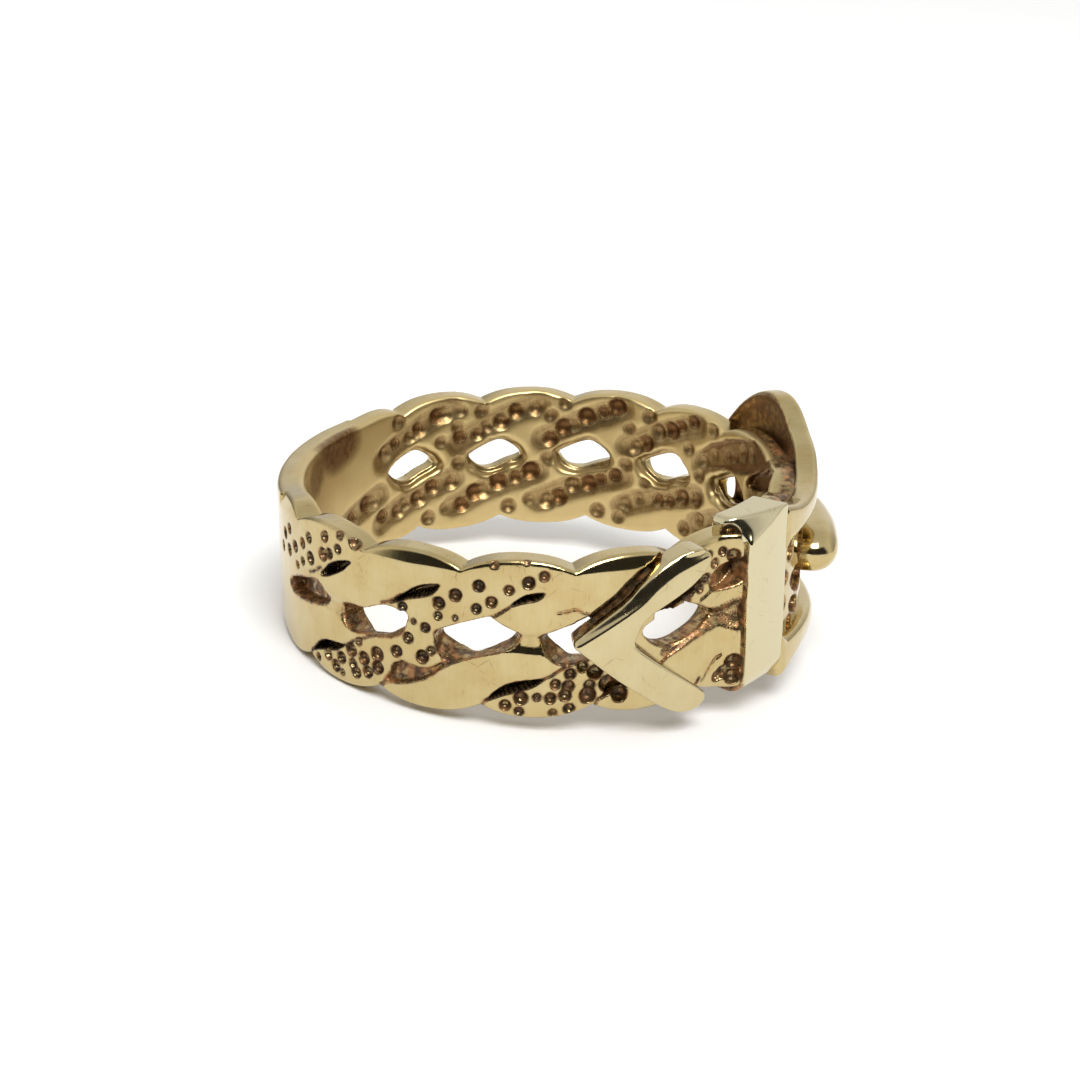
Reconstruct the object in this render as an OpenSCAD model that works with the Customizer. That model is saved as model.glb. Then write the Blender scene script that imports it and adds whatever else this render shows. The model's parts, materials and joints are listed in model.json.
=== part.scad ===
// A braided band ring whose band is closed by a small buckle.
// Lengths are in millimetres. An angle is counted in degrees round the ring from the buckle's
// prong, positive towards the strap's tip. Before it is laid down the ring's axis is Z.

/* [Band] */
// Radius of the finger hole
bore_r = 9.2; // [8:0.1:11]
// Thickness of the band, from the finger hole to the flat faces of the strands
band_t = 1.1; // [0.9:0.05:1.4]
// Height of the band over the tops of its scallops
band_h = 6.2; // [5.4:0.1:7]
// Height of the plain shank
shank_h = 5.6; // [5:0.1:6.6]
// Size of the bevel round the band's outer edges
rim_bevel = 0.32; // [0.1:0.02:0.4]
// Angle where the plain shank ends on the side of the strap's tip
shank_near_a = 169; // [164:1:174]
// Angle where the plain shank ends on the other side
shank_far_a = 217; // [212:1:222]

/* [Braid] */
// Angle of the first crossing on the side of the strap's tip
near_first_a = 161; // [157:0.5:165]
// Angle from one crossing to the next on that side
near_pitch_a = 23; // [22:0.1:24]
// Number of crossings on that side
near_count = 7; // [6:1:7]
// Angle of the first crossing on the other side, counted the other way
far_first_a = 138; // [134:0.5:142]
// Angle from one crossing to the next on the other side
far_pitch_a = 23.8; // [22:0.1:25]
// Number of crossings on the other side
far_count = 6; // [5:1:6]
// Depth of the notch between two scallops of the edge
scallop_depth = 0.42; // [0.1:0.02:0.6]
// Height of the pierced holes along the middle
hole_h = 1.76; // [1.2:0.02:2]
// Width of the slits between the strands, at their middle
slit_w = 0.38; // [0.2:0.02:0.5]
// Depth of the slits
slit_depth = 0.6; // [0.2:0.05:0.7]
// Width of the fine line between two strands, past the ends of a slit
line_w = 0.12; // [0.06:0.02:0.2]

/* [Inside] */
// Width of the hollow in the back of each strand
hollow_w = 0.72; // [0.4:0.02:0.9]
// Depth of that hollow
hollow_depth = 0.36; // [0.1:0.02:0.5]
// Depth of the shallow channel round the middle of the finger hole
channel_depth = 0.06; // [0.03:0.01:0.15]
// Height of that channel
channel_h = 0.5; // [0.3:0.1:0.9]

/* [Strap] */
// How far the strap stands over the rest of the band where it runs through the buckle
strap_rise = 0.3; // [0.1:0.05:0.4]
// Distance from the edge of that raised stretch to the band's edge
strap_inset = 0.45; // [0.42:0.02:0.8]
// Angle of the strap tip's point
tip_a = 83; // [79:1:87]
// Angle where the two arms of the tip end
tip_end_a = 55.5; // [53:0.5:58]
// Width of the tip's arms where they meet, measured along the band
tip_w = 2.2; // [1.6:0.1:2.6]
// Height of the end of each arm
tip_end_h = 0.7; // [0.5:0.05:0.9]
// Height of the tip, over both its arms
tip_h = 6.2; // [5.4:0.1:6.8]
// How far the tip stands over the band
tip_rise = 0.7; // [0.4:0.05:1]

/* [Keeper] */
// Angle of the keeper's middle
keeper_a = 38.5; // [36:0.5:41]
// Width of the keeper round the ring
keeper_w = 2.6; // [2:0.1:3.2]
// Height of the keeper over both its ends
keeper_h = 7.5; // [7:0.1:8.6]
// Size of the bevel between its front and its ends
keeper_bevel = 0.5; // [0.2:0.05:0.6]
// How far the keeper stands over the band
keeper_rise = 0.75; // [0.5:0.05:1]
// How far the keeper's ends reach in over the band's edges
keeper_lap = 0.75; // [0.3:0.05:0.9]

/* [Buckle frame] */
// Height of the frame over its two lobes
frame_h = 9.8; // [8.6:0.1:11]
// Height of the frame's opening
opening_h = 4.8; // [4:0.1:5.4]
// Thickness of the frame's plate
frame_t = 0.85; // [0.6:0.05:1.1]
// Angle of the far ends of the two lobes
frame_end_a = -41; // [-45:1:-39]
// Angle of the cusp between the two lobes
cusp_a = -34; // [-35:0.5:-33]
// Angle where the lobes are highest
lobe_a = -20; // [-24:1:-16]

/* [Prong] */
// Width of the prong
prong_w = 1.7; // [1.2:0.05:2.2]
// How far the prong stands over the band
prong_rise = 1.75; // [1.4:0.05:2]
// Angle of the prong's tip
prong_tip_a = 13; // [8:1:16]

/* [Hidden] */
$fn = 96;

face_r = bore_r + band_t;
slit_r = face_r - slit_depth;
// What stands on the band reaches into it by a share of the bevel round its edges
seat_share = 0.6;
seat_r = face_r - rim_bevel * seat_share;
strap_r = face_r + strap_rise;
tip_r = face_r + tip_rise;
keeper_r = face_r + keeper_rise;
frame_r = face_r + frame_t;
prong_r = face_r + prong_rise;
keeper_half_a = keeper_w / 2 / keeper_r * 180 / PI;
keeper_far_a = keeper_a - keeper_half_a;
// How far a cut runs on past what it cuts
past = 1;
// How far two pieces of one solid lie in each other
seam = 0.05;
seam_a = 0.3;
half_turn = 180;

// Width of the bar between the frame's opening and its cusp, in degrees
far_bar_w_a = 5.5;
// The strap runs raised from under the keeper to under that bar
strap_from_a = keeper_a;
strap_to_a = cusp_a + far_bar_w_a / 2;
strap_half_h = band_h / 2 - strap_inset;

// Columns of the tables below: the distance along the band, as a share of the pitch or of the
// named stretch, the height, as a share of the named height, and the width as a share
ALONG = 0;
UP = 1;
WIDE = 2;

// Half of a pierced hole's outline, from its left tip over its top. The other half is this
// one turned by half a turn about the hole's centre.
hole_half = [
    [-0.37, 0.10],
    [-0.26, 0.42],
    [-0.08, 0.70],
    [ 0.15, 1.00],
    [ 0.27, 0.66],
    [ 0.38, 0.24],
];

// Centre line of the slit between two strands of the upper row, measured from the crossing of
// the strand below it. Height is a share of half the band's height, and the last column is
// the width as a share of the way from the fine line to the slit's full width.
slit_line = [
    [-0.36, 0.29, 0.0],
    [-0.20, 0.40, 0.0],
    [-0.13, 0.455, 0.5],
    [-0.02, 0.52, 1.0],
    [ 0.12, 0.59, 1.0],
    [ 0.21, 0.655, 0.5],
    [ 0.25, 0.72, 0.0],
    [ 0.33, 0.85, 0.0],
    [ 0.42, 1.02, 0.0],
];

// The slit and the hollow are cut along the direction of their middle, given as a share of
// the pitch past the crossing
slit_at = 0.1;
hollow_at = 0.6;

// Centre line of the hollow in the back of an upper strand, and its width as a share
hollow_line = [
    [0.17, 0.34, 0.55],
    [0.36, 0.45, 1.00],
    [0.58, 0.58, 1.00],
    [0.80, 0.71, 1.00],
    [1.00, 0.83, 0.55],
];

// The notch between two scallops: distance from the notch as a share of the pitch, and depth
// as a share of the scallop's depth
notch_side = [
    [0.00, 1.00],
    [0.08, 0.62],
    [0.20, 0.22],
    [0.34, 0.02],
    [0.40, -0.15],
];
// Where the upper edge's notch lies, as a share of the pitch past its crossing
notch_at = 0.42;

// Outer edge of one arm of the strap's tip: the way from the point to the arm's end, and
// height as a share of half the tip's height
tip_side = [
    [0.00, 0.00],
    [0.27, 0.36],
    [0.47, 0.62],
    [0.67, 0.90],
    [0.80, 1.00],
    [0.93, 1.00],
    [1.00, 0.95],
];

// Upper outline of the buckle's frame: angle as a share of the way from the keeper's far side
// to the lobe, then from the lobe to the frame's end, and height as a share of half the frame
frame_side = [
    [0.00, 0.74],
    [0.16, 0.63],
    [0.32, 0.60],
    [0.46, 0.64],
    [0.60, 0.73],
    [0.74, 0.84],
    [0.86, 0.94],
    [0.94, 0.985],
    [1.00, 1.00],
];
frame_head = [
    [0.00, 1.00],
    [0.25, 0.97],
    [0.45, 0.88],
    [0.65, 0.75],
    [0.82, 0.57],
    [0.93, 0.47],
    [1.00, 0.38],
];
// Upper outline of the frame's opening, from the keeper to the far bar, and its height as a
// share of half the opening
opening_side = [
    [0.00, 0.82],
    [0.35, 0.88],
    [0.60, 0.98],
    [0.80, 1.00],
    [0.92, 0.80],
    [1.00, 0.42],
];
// Side of a lobe from the cusp on: the way from the cusp to the lobe's far end, and height as
// a share of half the frame
cusp_side = [
    [0.17, 0.13],
    [0.46, 0.21],
    [0.83, 0.27],
    [1.00, 0.34],
];
// The arm is made of pieces that each take up two steps of its outline
frame_step = 2;

// Side of the prong, from its far end to its tip: the way along it, and half its width as a
// share of the named half. Over 1 the round section is left whole.
prong_side = [
    [0.00, 0.55],
    [0.06, 1.10],
    [0.86, 1.10],
    [0.96, 0.70],
    [1.00, 0.30],
];
// The round section runs on past both ends by this angle before it is cut to that outline
prong_spare_a = 5;

// Ring at rest: it lies on its side, on the lower lobe of the buckle's frame and on the edge
// of the band across from it, so its axis leans away from the buckle
rest_tilt = atan((frame_h - band_h) / 2 / (seat_r + face_r - rim_bevel));
rest_height = frame_h / 2 * cos(rest_tilt) - seat_r * sin(rest_tilt);
rest_shift = [(tip_r - face_r) / 2, (prong_r - face_r) / 2, rest_height];

// Turn the way to an angle on the ring into a turn about Z
function heading(a) = -90 - a;
// One point of an outline on the plane across the direction of angle at. The angles are true
// at radius r.
function flat_point(a, z, at, r) = [-r * sin(a - at), z];
// A value a share of the way from one to another
function share(from, to, part) = from + (to - from) * part;

// Extrude an outline of [angle, height] points outwards along the direction of angle at. The
// outline keeps its angles at radius true_r.
module outwards(outline, at, r_in, r_out, true_r = face_r) {
    rotate([0, 0, heading(at)])
        translate([r_in, 0, 0])
            rotate([90, 0, 90])
                linear_extrude(height = r_out - r_in)
                    polygon([for (p = outline) flat_point(p[0], p[1], at, true_r)]);
}

// A slice of the ring between two angles and two radii
module sector(a_from, a_to, r_in, r_out, z_low, z_high) {
    turn = abs(a_to - a_from);
    rotate([0, 0, heading(max(a_from, a_to))])
        rotate_extrude(angle = turn)
            translate([r_in, z_low])
                square([r_out - r_in, z_high - z_low]);
}

// The band before it is cut: a plain ring with bevelled outer edges
module blank() {
    rotate_extrude()
        polygon([
            [bore_r, -band_h / 2],
            [face_r - rim_bevel, -band_h / 2],
            [face_r, -band_h / 2 + rim_bevel],
            [face_r, band_h / 2 - rim_bevel],
            [face_r - rim_bevel, band_h / 2],
            [bore_r, band_h / 2],
        ]);
}

// Outline of a line that widens and narrows, from its centre line's rows
function strip(rows, from_a, pitch, half_h, thin, wide) = concat(
    [for (row = rows) [from_a - row[ALONG] * pitch,
        row[UP] * half_h + share(thin, wide, row[WIDE]) / 2]],
    [for (i = [len(rows) - 1 : -1 : 0]) [from_a - rows[i][ALONG] * pitch,
        rows[i][UP] * half_h - share(thin, wide, rows[i][WIDE]) / 2]]
);

// The cuts that belong to one crossing: a pierced hole, two slits, two notches in the edges
// and two hollows in the back
module crossing_cuts(at, pitch, last) {
    hole_at = at - pitch / 2;
    half_hole = [for (row = hole_half) [row[ALONG] * pitch, row[UP] * hole_h / 2]];
    hole = concat(
        [for (p = half_hole) [hole_at - p[0], p[1]]],
        [for (p = half_hole) [hole_at + p[0], -p[1]]]
    );
    if (!last) outwards(hole, hole_at, bore_r - past, strap_r + past);
    half_cuts(at, pitch);
    rotate([0, 0, heading(at)])
        rotate([half_turn, 0, 0])
            rotate([0, 0, -heading(at)])
                half_cuts(at, pitch);
}

// The cuts of the upper row. The lower row's are the same, turned by half a turn about the
// crossing.
module half_cuts(at, pitch) {
    outwards(strip(slit_line, at, pitch, band_h / 2, line_w, slit_w),
        at - pitch * slit_at, slit_r, strap_r + past);
    outwards(strip(hollow_line, at, pitch, band_h / 2, 0, hollow_w),
        at - pitch * hollow_at, bore_r - past, bore_r + hollow_depth);
    notch_a = at - pitch * notch_at;
    side = [for (row = notch_side) [row[ALONG] * pitch, band_h / 2 - row[UP] * scallop_depth]];
    outwards(concat(
            [for (i = [len(side) - 1 : -1 : 0]) [notch_a + side[i][0], side[i][1]]],
            [for (i = [1 : len(side) - 1]) [notch_a - side[i][0], side[i][1]]],
            [[notch_a - side[len(side) - 1][0], band_h / 2 + past],
                [notch_a + side[len(side) - 1][0], band_h / 2 + past]]
        ), notch_a, bore_r - past, strap_r + past);
}

// Every cut of the braid on one side of the ring
module braid_cuts(first, pitch, count) {
    for (i = [0 : count - 1]) crossing_cuts(first - i * pitch, pitch, i == count - 1);
}

// What is taken off the blank's edges along the plain shank
module shank_trim() {
    for (up = [0, 1])
        mirror([0, 0, up])
            sector(shank_near_a, shank_far_a, bore_r - past, face_r + past,
                shank_h / 2, band_h / 2 + past);
}

// The strap stands a little over the rest of the band on its way through the buckle
module raised_strap() {
    sector(strap_from_a, strap_to_a, face_r - seam, strap_r, -strap_half_h, strap_half_h);
}

// The band in one piece: two rows of strands that cross along the middle, and the plain shank
module braided_band() {
    color("#d6ca8e")
        difference() {
            union() {
                blank();
                raised_strap();
            }
            shank_trim();
            braid_cuts(near_first_a, near_pitch_a, near_count);
            mirror([1, 0, 0]) braid_cuts(far_first_a, far_pitch_a, far_count);
        }
}

// The strap's end: two flat arms that meet in a point
module strap_tip() {
    outer = [for (row = tip_side) [share(tip_a, tip_end_a, row[ALONG]), row[UP] * tip_h / 2]];
    end = outer[len(outer) - 1];
    corner_a = tip_a - tip_w / tip_r * 180 / PI;
    half = concat(outer, [[end[0], end[1] - tip_end_h], [corner_a, 0]]);
    outline = concat(half, [for (i = [len(half) - 2 : -1 : 1]) [half[i][0], -half[i][1]]]);
    color("#ddd6a6")
        outwards(outline, (tip_a + tip_end_a) / 2, seat_r, tip_r, tip_r);
}

// The loop that holds the strap down: a flat front bar with an end over each edge of the band
module keeper() {
    lap_r = face_r - keeper_lap;
    lap_z = band_h / 2 - seam;
    half = keeper_h / 2;
    color("#ddd6a6")
        rotate([0, 0, heading(keeper_a + keeper_half_a)])
            rotate_extrude(angle = 2 * keeper_half_a)
                polygon([
                    [seat_r, -lap_z],
                    [lap_r, -lap_z],
                    [lap_r, -half],
                    [keeper_r - keeper_bevel, -half],
                    [keeper_r, -half + keeper_bevel],
                    [keeper_r, half - keeper_bevel],
                    [keeper_r - keeper_bevel, half],
                    [lap_r, half],
                    [lap_r, lap_z],
                    [seat_r, lap_z],
                ]);
}

// One arm of the buckle's frame, from the keeper round the lobe to the far bar. Each piece is
// cut along its own direction, so that the outline keeps its form round the bend.
module frame_arm() {
    outer = concat(
        [for (row = frame_side) [share(keeper_far_a, lobe_a, row[ALONG]), row[UP] * frame_h / 2]],
        [for (i = [1 : len(frame_head) - 1]) [share(lobe_a, frame_end_a, frame_head[i][ALONG]),
            frame_head[i][UP] * frame_h / 2]]
    );
    bar_a = cusp_a + far_bar_w_a;
    inner = concat(
        [for (row = opening_side) [share(keeper_far_a, bar_a, row[ALONG]),
            row[UP] * opening_h / 2]],
        [[bar_a - seam_a, 0], [cusp_a, 0]],
        [for (row = cusp_side) [share(cusp_a, frame_end_a, row[ALONG]), row[UP] * frame_h / 2]]
    );
    // lookup() wants its keys in rising order
    outer_z = [for (i = [len(outer) - 1 : -1 : 0]) outer[i]];
    inner_z = [for (i = [len(inner) - 1 : -1 : 0]) inner[i]];
    for (i = [0 : frame_step : len(outer) - 1 - frame_step]) {
        from_a = outer[i][0];
        to_a = outer[i + frame_step][0];
        angles = concat(from_a + seam_a,
            [for (k = [1 : frame_step - 1]) outer[i + k][0]],
            max(to_a - seam_a, frame_end_a));
        last = len(angles) - 1;
        outwards(concat(
                [for (a = angles) [a, lookup(a, outer_z)]],
                [for (k = [last : -1 : 0]) [angles[k], lookup(angles[k], inner_z)]]
            ), (from_a + to_a) / 2, seat_r, frame_r, frame_r);
    }
}

module buckle_frame() {
    color("#d9d09c")
        for (up = [0, 1]) mirror([0, 0, up]) frame_arm();
}

// The prong lies over the strap from the frame's far bar, and narrows to its tip
module prong() {
    middle_r = prong_r - prong_w / 2;
    far_a = cusp_a;
    half = prong_w / 2;
    upper = [for (row = prong_side) [share(far_a, prong_tip_a, row[ALONG]), row[UP] * half]];
    outline = concat(upper, [for (i = [len(upper) - 1 : -1 : 0]) [upper[i][0], -upper[i][1]]]);
    color("#d9d09c")
        intersection() {
            rotate([0, 0, heading(prong_tip_a + prong_spare_a)])
                rotate_extrude(angle = prong_tip_a - far_a + 2 * prong_spare_a)
                    translate([middle_r, 0])
                        circle(r = half);
            outwards(outline, (far_a + prong_tip_a) / 2, face_r, prong_r + past);
        }
}

// The finger hole, with the shallow channel round its middle
module finger_hole() {
    cylinder(r = bore_r, h = 2 * frame_h, center = true);
    cylinder(r = bore_r + channel_depth, h = channel_h, center = true);
}

// Lay the ring down on a surface at Z = 0, with the buckle towards -Y
module at_rest() {
    translate(rest_shift)
        rotate(a = rest_tilt, v = [-cos(lobe_a), sin(lobe_a), 0])
            children();
}

module ring() {
    at_rest()
        difference() {
            union() {
                braided_band();
                strap_tip();
                keeper();
                buckle_frame();
                prong();
            }
            finger_hole();
        }
}

ring();
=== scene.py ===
"""A braided band ring closed by a small buckle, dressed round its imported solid.

Each form is a signed distance field on a grid of angle, height and radius. The fields are
joined and cut with small rounded edges, and the surface where the result is zero is the mesh.
An angle is counted in degrees round the ring from the buckle's prong, positive towards the
strap's tip, as in the part's source. Heights and radii are in millimetres until place() lays
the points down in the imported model's frame, in metres.
"""

import json
import math
from typing import NamedTuple

import bmesh
import bpy
import numpy as np
from mathutils import Matrix, Vector


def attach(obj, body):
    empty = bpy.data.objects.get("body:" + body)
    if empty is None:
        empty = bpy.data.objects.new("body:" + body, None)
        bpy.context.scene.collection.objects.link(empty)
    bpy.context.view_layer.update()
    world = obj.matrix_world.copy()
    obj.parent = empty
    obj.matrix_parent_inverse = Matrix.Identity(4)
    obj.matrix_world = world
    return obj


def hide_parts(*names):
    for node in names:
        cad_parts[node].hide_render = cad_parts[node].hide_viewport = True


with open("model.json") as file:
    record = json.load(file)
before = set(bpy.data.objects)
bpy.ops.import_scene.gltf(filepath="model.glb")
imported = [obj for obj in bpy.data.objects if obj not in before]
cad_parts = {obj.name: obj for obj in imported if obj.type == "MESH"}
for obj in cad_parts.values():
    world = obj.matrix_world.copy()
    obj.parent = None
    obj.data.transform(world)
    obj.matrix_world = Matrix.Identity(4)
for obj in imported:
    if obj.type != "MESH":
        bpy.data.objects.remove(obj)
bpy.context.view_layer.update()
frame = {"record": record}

class Cut(NamedTuple):
    """A kind of cut: the radius of the edge that it leaves, how much brown stain and painted
    brown shade and how much painted black shade it lays on what it bares, and how far both
    reach beyond it."""

    edge: float = 0.05
    stain: float = 1.0
    soot: float = 0.0
    spread: float = 0.07


MM = 0.001
BODY = "root"
NODE = "ring"
SEED = 7

# The steps of the grids
BAND_STEP = 0.06
FRAME_STEP = 0.056
PIECE_STEP = 0.05

# The band
BORE_R = 9.2
FACE_R = 10.3
BAND_HALF = 3.1
SHANK_HALF = 2.8
# The steep facet along a strand's edge: how far down the face it starts, at a scallop's ends
# and more at its middle, and its slope on the lower edge and on the upper one's strands
FACET_LOW = 0.15
FACET_MORE = 0.4
LOWER_SLOPE = 0.45
POLISHED_SLOPE = 0.37
PITTED_SLOPE = 0.17
FACET_EDGE = 0.03
RIM_ROUND = 0.12
INNER_ROUND = 0.19
# The metal round a pierced hole thins out below this radius, at this slope
THIN_R = 9.6
THIN_SLOPE = 0.25
# How far out the satin of the inside reaches, on the near side and elsewhere, and fades
SATIN_DEPTH = (0.35, 0.65)
SATIN_FADE = 0.3

# The braid: its first crossing, the way to the next one, their number and where the shank
# begins, on the side of the strap's tip and on the other one, where all is mirrored
NEAR = {"first": 161, "pitch": 23.0, "count": 7, "side": 1, "shank": 169}
FAR = {"first": 138, "pitch": 23.8, "count": 6, "side": -1, "shank": 143}
SCALLOP_DEPTH = 0.45
SCALLOP_POWER = 2.4
NOTCH_AT = 0.42
# The facets begin this share of a pitch before the first notch
FACETS_FROM = -0.6
# The scallops die down from this many degrees before the shank to this many past its start
SHANK_FADE = (18, 3)

# The strap stands higher in the buckle: over these angles and heights it rises and falls
STRAP_RISE = 0.3
STRAP_ENDS = ((-37, -33), (36, 44))
STRAP_EDGE = (2.55, 2.95)
# It rises to the keeper too
KEEPER_RAMP = 0.48
RAMP_ENDS = ((38, 40), (44.5, 50))

# The tip: its facet is wider along the upper side of the upper arm
TIP_R = (9.9, 11.0)
TIP_SLOPE = 0.45
TIP_FACET_LOW = 0.06
TIP_FACET_MORE = 0.42

# The keeper
KEEPER_A = (32.0, 45.0)
KEEPER_TOP = 3.68
KEEPER_FOOT = 3.5
KEEPER_FOOT_ROUND = 1.1
KEEPER_R = 11.06
CAP_FLARE = 3.0
CAP_SLOPE = 0.6
# The round hollow under its cap's corner: angle, height, width and radius
CAP_HOLLOW = (47.5, 3.05, 0.8, 10.5)

# The frame and the prong
FRAME_R = (10.2, 11.12)
FRAME_FRONT_ROUND = 0.32
FRAME_BACK_ROUND = 0.2
FRAME_HOLLOW = 0.16
PRONG_R = 12.05
PRONG_FOOT_R = 10.35
PRONG_MIDDLE_R = 11.4
PRONG_ROUND = 0.86
# How far its ends are bent down, and how far it lies above the frame's middle
PRONG_DROP = 0.6
PRONG_LIFT = 0.1

# How pale the keeper and the tip are
KEEPER_PALE = 0.9
TIP_PALE = 0.4

# Millimetres in a degree along the outer face, and a distance beyond all forms
DEGREE = math.radians(FACE_R)
FAR_OFF = 9.0
# How far round its points a cut reaches, in degrees and in millimetres, and one from inside
REACH = (6, 0.9)
INNER_REACH = (3, 0.5)
# The edge of a recess's floor, and an edge that is only a little worn
FLOOR_ROUND = 0.1
WORN = 0.05
# How far the walls of lofted holes and of the recesses inside waver
LOFT_WAVES = 0.05
DUG_WAVES = 0.06

# Kinds of cut. The black they leave in slits, pits, grooves and holes is painted shade; the brown
# they leave is stain, and painted shade in some places
HOLE = Cut(stain=0.9, soot=0.1)
SLANTED_WALL = Cut(soot=0.2)
LOFTED = RECESS = Cut(stain=0.95, soot=0.1)
BLIND = Cut(edge=0.06, soot=0.1, spread=0.12)
FAR_HOLE = Cut(stain=0.1)
FAR_WALL = Cut(stain=0.8)
# Painted shade: brown round the far holes' soft bevel inside
FAR_BEVEL = Cut(edge=0.34, stain=0.45, spread=0.12)
WORN_SADDLE = Cut(edge=0.12, stain=0.2)
SLIT = Cut(edge=0.03, soot=1.0, spread=0.04)
FINE_LINE = Cut(edge=0.04, stain=0.9, soot=0.5)
CRACK = Cut(edge=0.04, stain=0.8, soot=0.3)
FOOT = Cut(soot=0.62)
PIT = Cut(edge=0.03, stain=0.9, soot=0.62, spread=0.08)
CAP_PIT = Cut(edge=0.03, soot=0.72)
INNER_SPOT = Cut(edge=0.14, stain=0.65, spread=0.14)
DUG = Cut(edge=0.12, spread=0.12)
HOLLOW = Cut(edge=0.14, stain=0.55, spread=0.1)


# Charts. What belongs to every crossing is [degrees past the crossing, height], going away from
# the shank, for the side of the strap's tip. All other outlines are [angle, height].

PIERCED_HOLE = [
    (3.5, 0.12), (5.1, 0.3), (9, 0.58), (12, 0.77), (15, 0.88), (18, 0.66), (20.4, 0.38),
    (21.9, 0.08), (21, -0.1), (16.5, -0.3), (13.5, -0.52), (10.5, -0.62), (6.9, -0.4),
]
# The far side's holes are smaller, by these shares about the middle
HOLE_MIDDLE = (13.2, 0.12)
FAR_SHARE = (0.78, 0.9)
# The slanted wall at the hole's lower left, which closes in towards the finger hole
HOLE_RAMP = [
    (2.6, 0.04), (3.4, -0.28), (3.9, -0.68), (6, -0.9), (9.6, -0.8), (13.6, -0.56), (13, 0),
    (8, 0.42), (5, 0.2),
]
# The slanted walls' slope, and how far from the finger hole they end, here and on the far side
WALL_SLOPE = 1.15
WALL_FLOOR = 0.1
FAR_WALL_FLOOR = 0.75
# The far side's holes open inwards in a soft bevel, a little wider than they are
BEVEL_DEPTH = 0.45
BEVEL_WIDER = 0.2
# The saddle between two holes, where a polished strand lies over a pitted one
SADDLE = [(-3, -0.02), (1, -0.08), (4.3, -0.15)]
SADDLES = (1, 3)
SADDLE_W = 0.62
SADDLE_DEPTH = 0.13
# The near side's holes by their crossing's number, at the outer face and at the inner one
NEAR_HOLES = {
    1: (
        [(135.5, 0.15), (132, 0.35), (128.5, 0.3), (125.5, 0.55), (122.5, 0.75), (119.5, 0.68),
         (117.5, 0.38), (118, -0.05), (119.5, -0.4), (123.5, -0.6), (126.5, -0.6), (132.5, -0.8),
         (135.5, -0.4)],
        [(135, -0.35), (131.5, -0.95), (128.5, -1), (124.5, -0.78), (121.5, -0.42), (118, -0.05),
         (117, 0.4), (119.5, 0.8), (122.5, 0.9), (126, 0.7), (130, 0.4), (134, 0.2)],
    ),
    2: (
        [(111.5, 0.1), (109.5, 0.25), (105.5, 0.55), (100.5, 0.85), (99.5, 0.9), (97.5, 0.65),
         (95, 0.4), (93, 0.2), (93.5, -0.05), (94.5, -0.25), (97.5, -0.45), (101.5, -0.62),
         (105.5, -0.9), (109, -1.1), (110, -0.85), (111, -0.5)],
        [(112, -0.25), (109, -0.55), (106, -0.8), (103.5, -0.92), (98.5, -0.47), (94.8, -0.2),
         (94, 0.2), (95.5, 0.5), (98, 0.8), (100, 1.05), (105.5, 0.75), (111, 0.2)],
    ),
    3: (
        [(90, 0.1), (88.5, 0.25), (85, 0.5), (82, 0.65), (79.5, 0.75), (78, 0.4), (78.5, -0.4),
         (79.5, -0.85), (82.5, -0.95), (85.5, -0.95), (87.5, -0.7), (88.5, -0.45), (89.5, -0.1)],
        [(88, -0.1), (86.5, -0.42), (85, -0.65), (82.5, -0.9), (80, -0.95), (78, -0.9), (76.5, 0),
         (78, 0.8), (82, 0.8), (86, 0.5)],
    ),
}
# The first one is blind: its outline, the radius of its floor and its wall's slope
BLIND_CROSSING = 0
BLIND_HOLE = [
    (158.5, -0.35), (156, 0), (150, 0.38), (143.5, 0.7), (141.5, 0.5), (139.6, 0.1), (140, -0.12),
    (144, -0.36), (148.5, -0.5), (156.5, -0.65),
]
BLIND_R = 9.75
BLIND_SLOPE = 0.12
# The hole that the tip half covers, and its slanted wall
TIP_CROSSING = 4
TIP_HOLE = [
    (68.4, 0.05), (67, 0.34), (62.5, 0.62), (59.5, 0.84), (56.5, 0.8), (53.5, 0.44), (50.5, 0.28),
    (49.8, 0), (52.5, -0.3), (56, -0.52), (59.5, -0.72), (63, -0.75), (66.5, -0.4),
]
TIP_HOLE_WALL = [
    (56, 0.84), (53.5, 0.42), (51, 0.3), (46.5, 0.2), (46.3, -0.3), (51, -0.5), (55.5, -0.66),
    (58.5, -0.9), (62.5, -1.15), (64.5, -0.9), (60, -0.2),
]
# Slits between the strands of the upper row, for each crossing of the near side
WIDE_SLIT = [
    (-4.3, 0.92), (-2.4, 1.3), (-0.2, 1.64), (3, 1.9), (6.8, 2.06), (5.4, 1.84), (3.8, 1.56),
    (-0.2, 1.16), (-2.4, 1),
]
LONG_SLIT = [
    (-6.9, 0.82), (-4.5, 1.16), (-2, 1.5), (0, 1.75), (2.5, 1.9), (5.5, 2), (4.5, 1.74),
    (3.5, 1.55), (1.5, 1.4), (-1.5, 1.25), (-4, 1.04),
]
SHORT_SLIT = [
    (-3.8, 1.32), (-2, 1.6), (-0.5, 1.8), (2, 1.87), (3.7, 1.9), (3.4, 1.78), (2, 1.6),
    (-0.5, 1.54),
]
UPPER_SLITS = [None, WIDE_SLIT, LONG_SLIT, SHORT_SLIT, LONG_SLIT, None, None]
LOWER_SLIT = [
    (-8.6, -2.46), (-6.5, -2), (-3.5, -1.65), (0.5, -1.54), (3.7, -1.48), (2, -1.7), (0.5, -1.86),
    (-3.5, -2.06), (-6.5, -2.27),
]
# The near side's crossings with a slit in the lower row. The tip's has less painted black shade.
LOWER_SLITS = (1, 3, 4)
TIP_SLIT_BLACK_SHADE = 0.55
SLIT_DEPTH = 0.66
SLIT_SLOPE = 0.1
# Fine lines from a slit to the rim and to the hole
FINE_LINES = [
    [(-8.4, 0.8), (-6.2, 0.98), (-3.6, 1.3)],
    [(-8.2, -2.35), (-9.1, -2.55), (-9.7, -3)],
    [(3.2, -1.5), (5, -1.35), (6.8, -1.1), (13.5, -0.52)],
]
LINE_W = 0.07
LINE_DEPTH = 0.1
CRACK_DEPTH = 0.05
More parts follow.
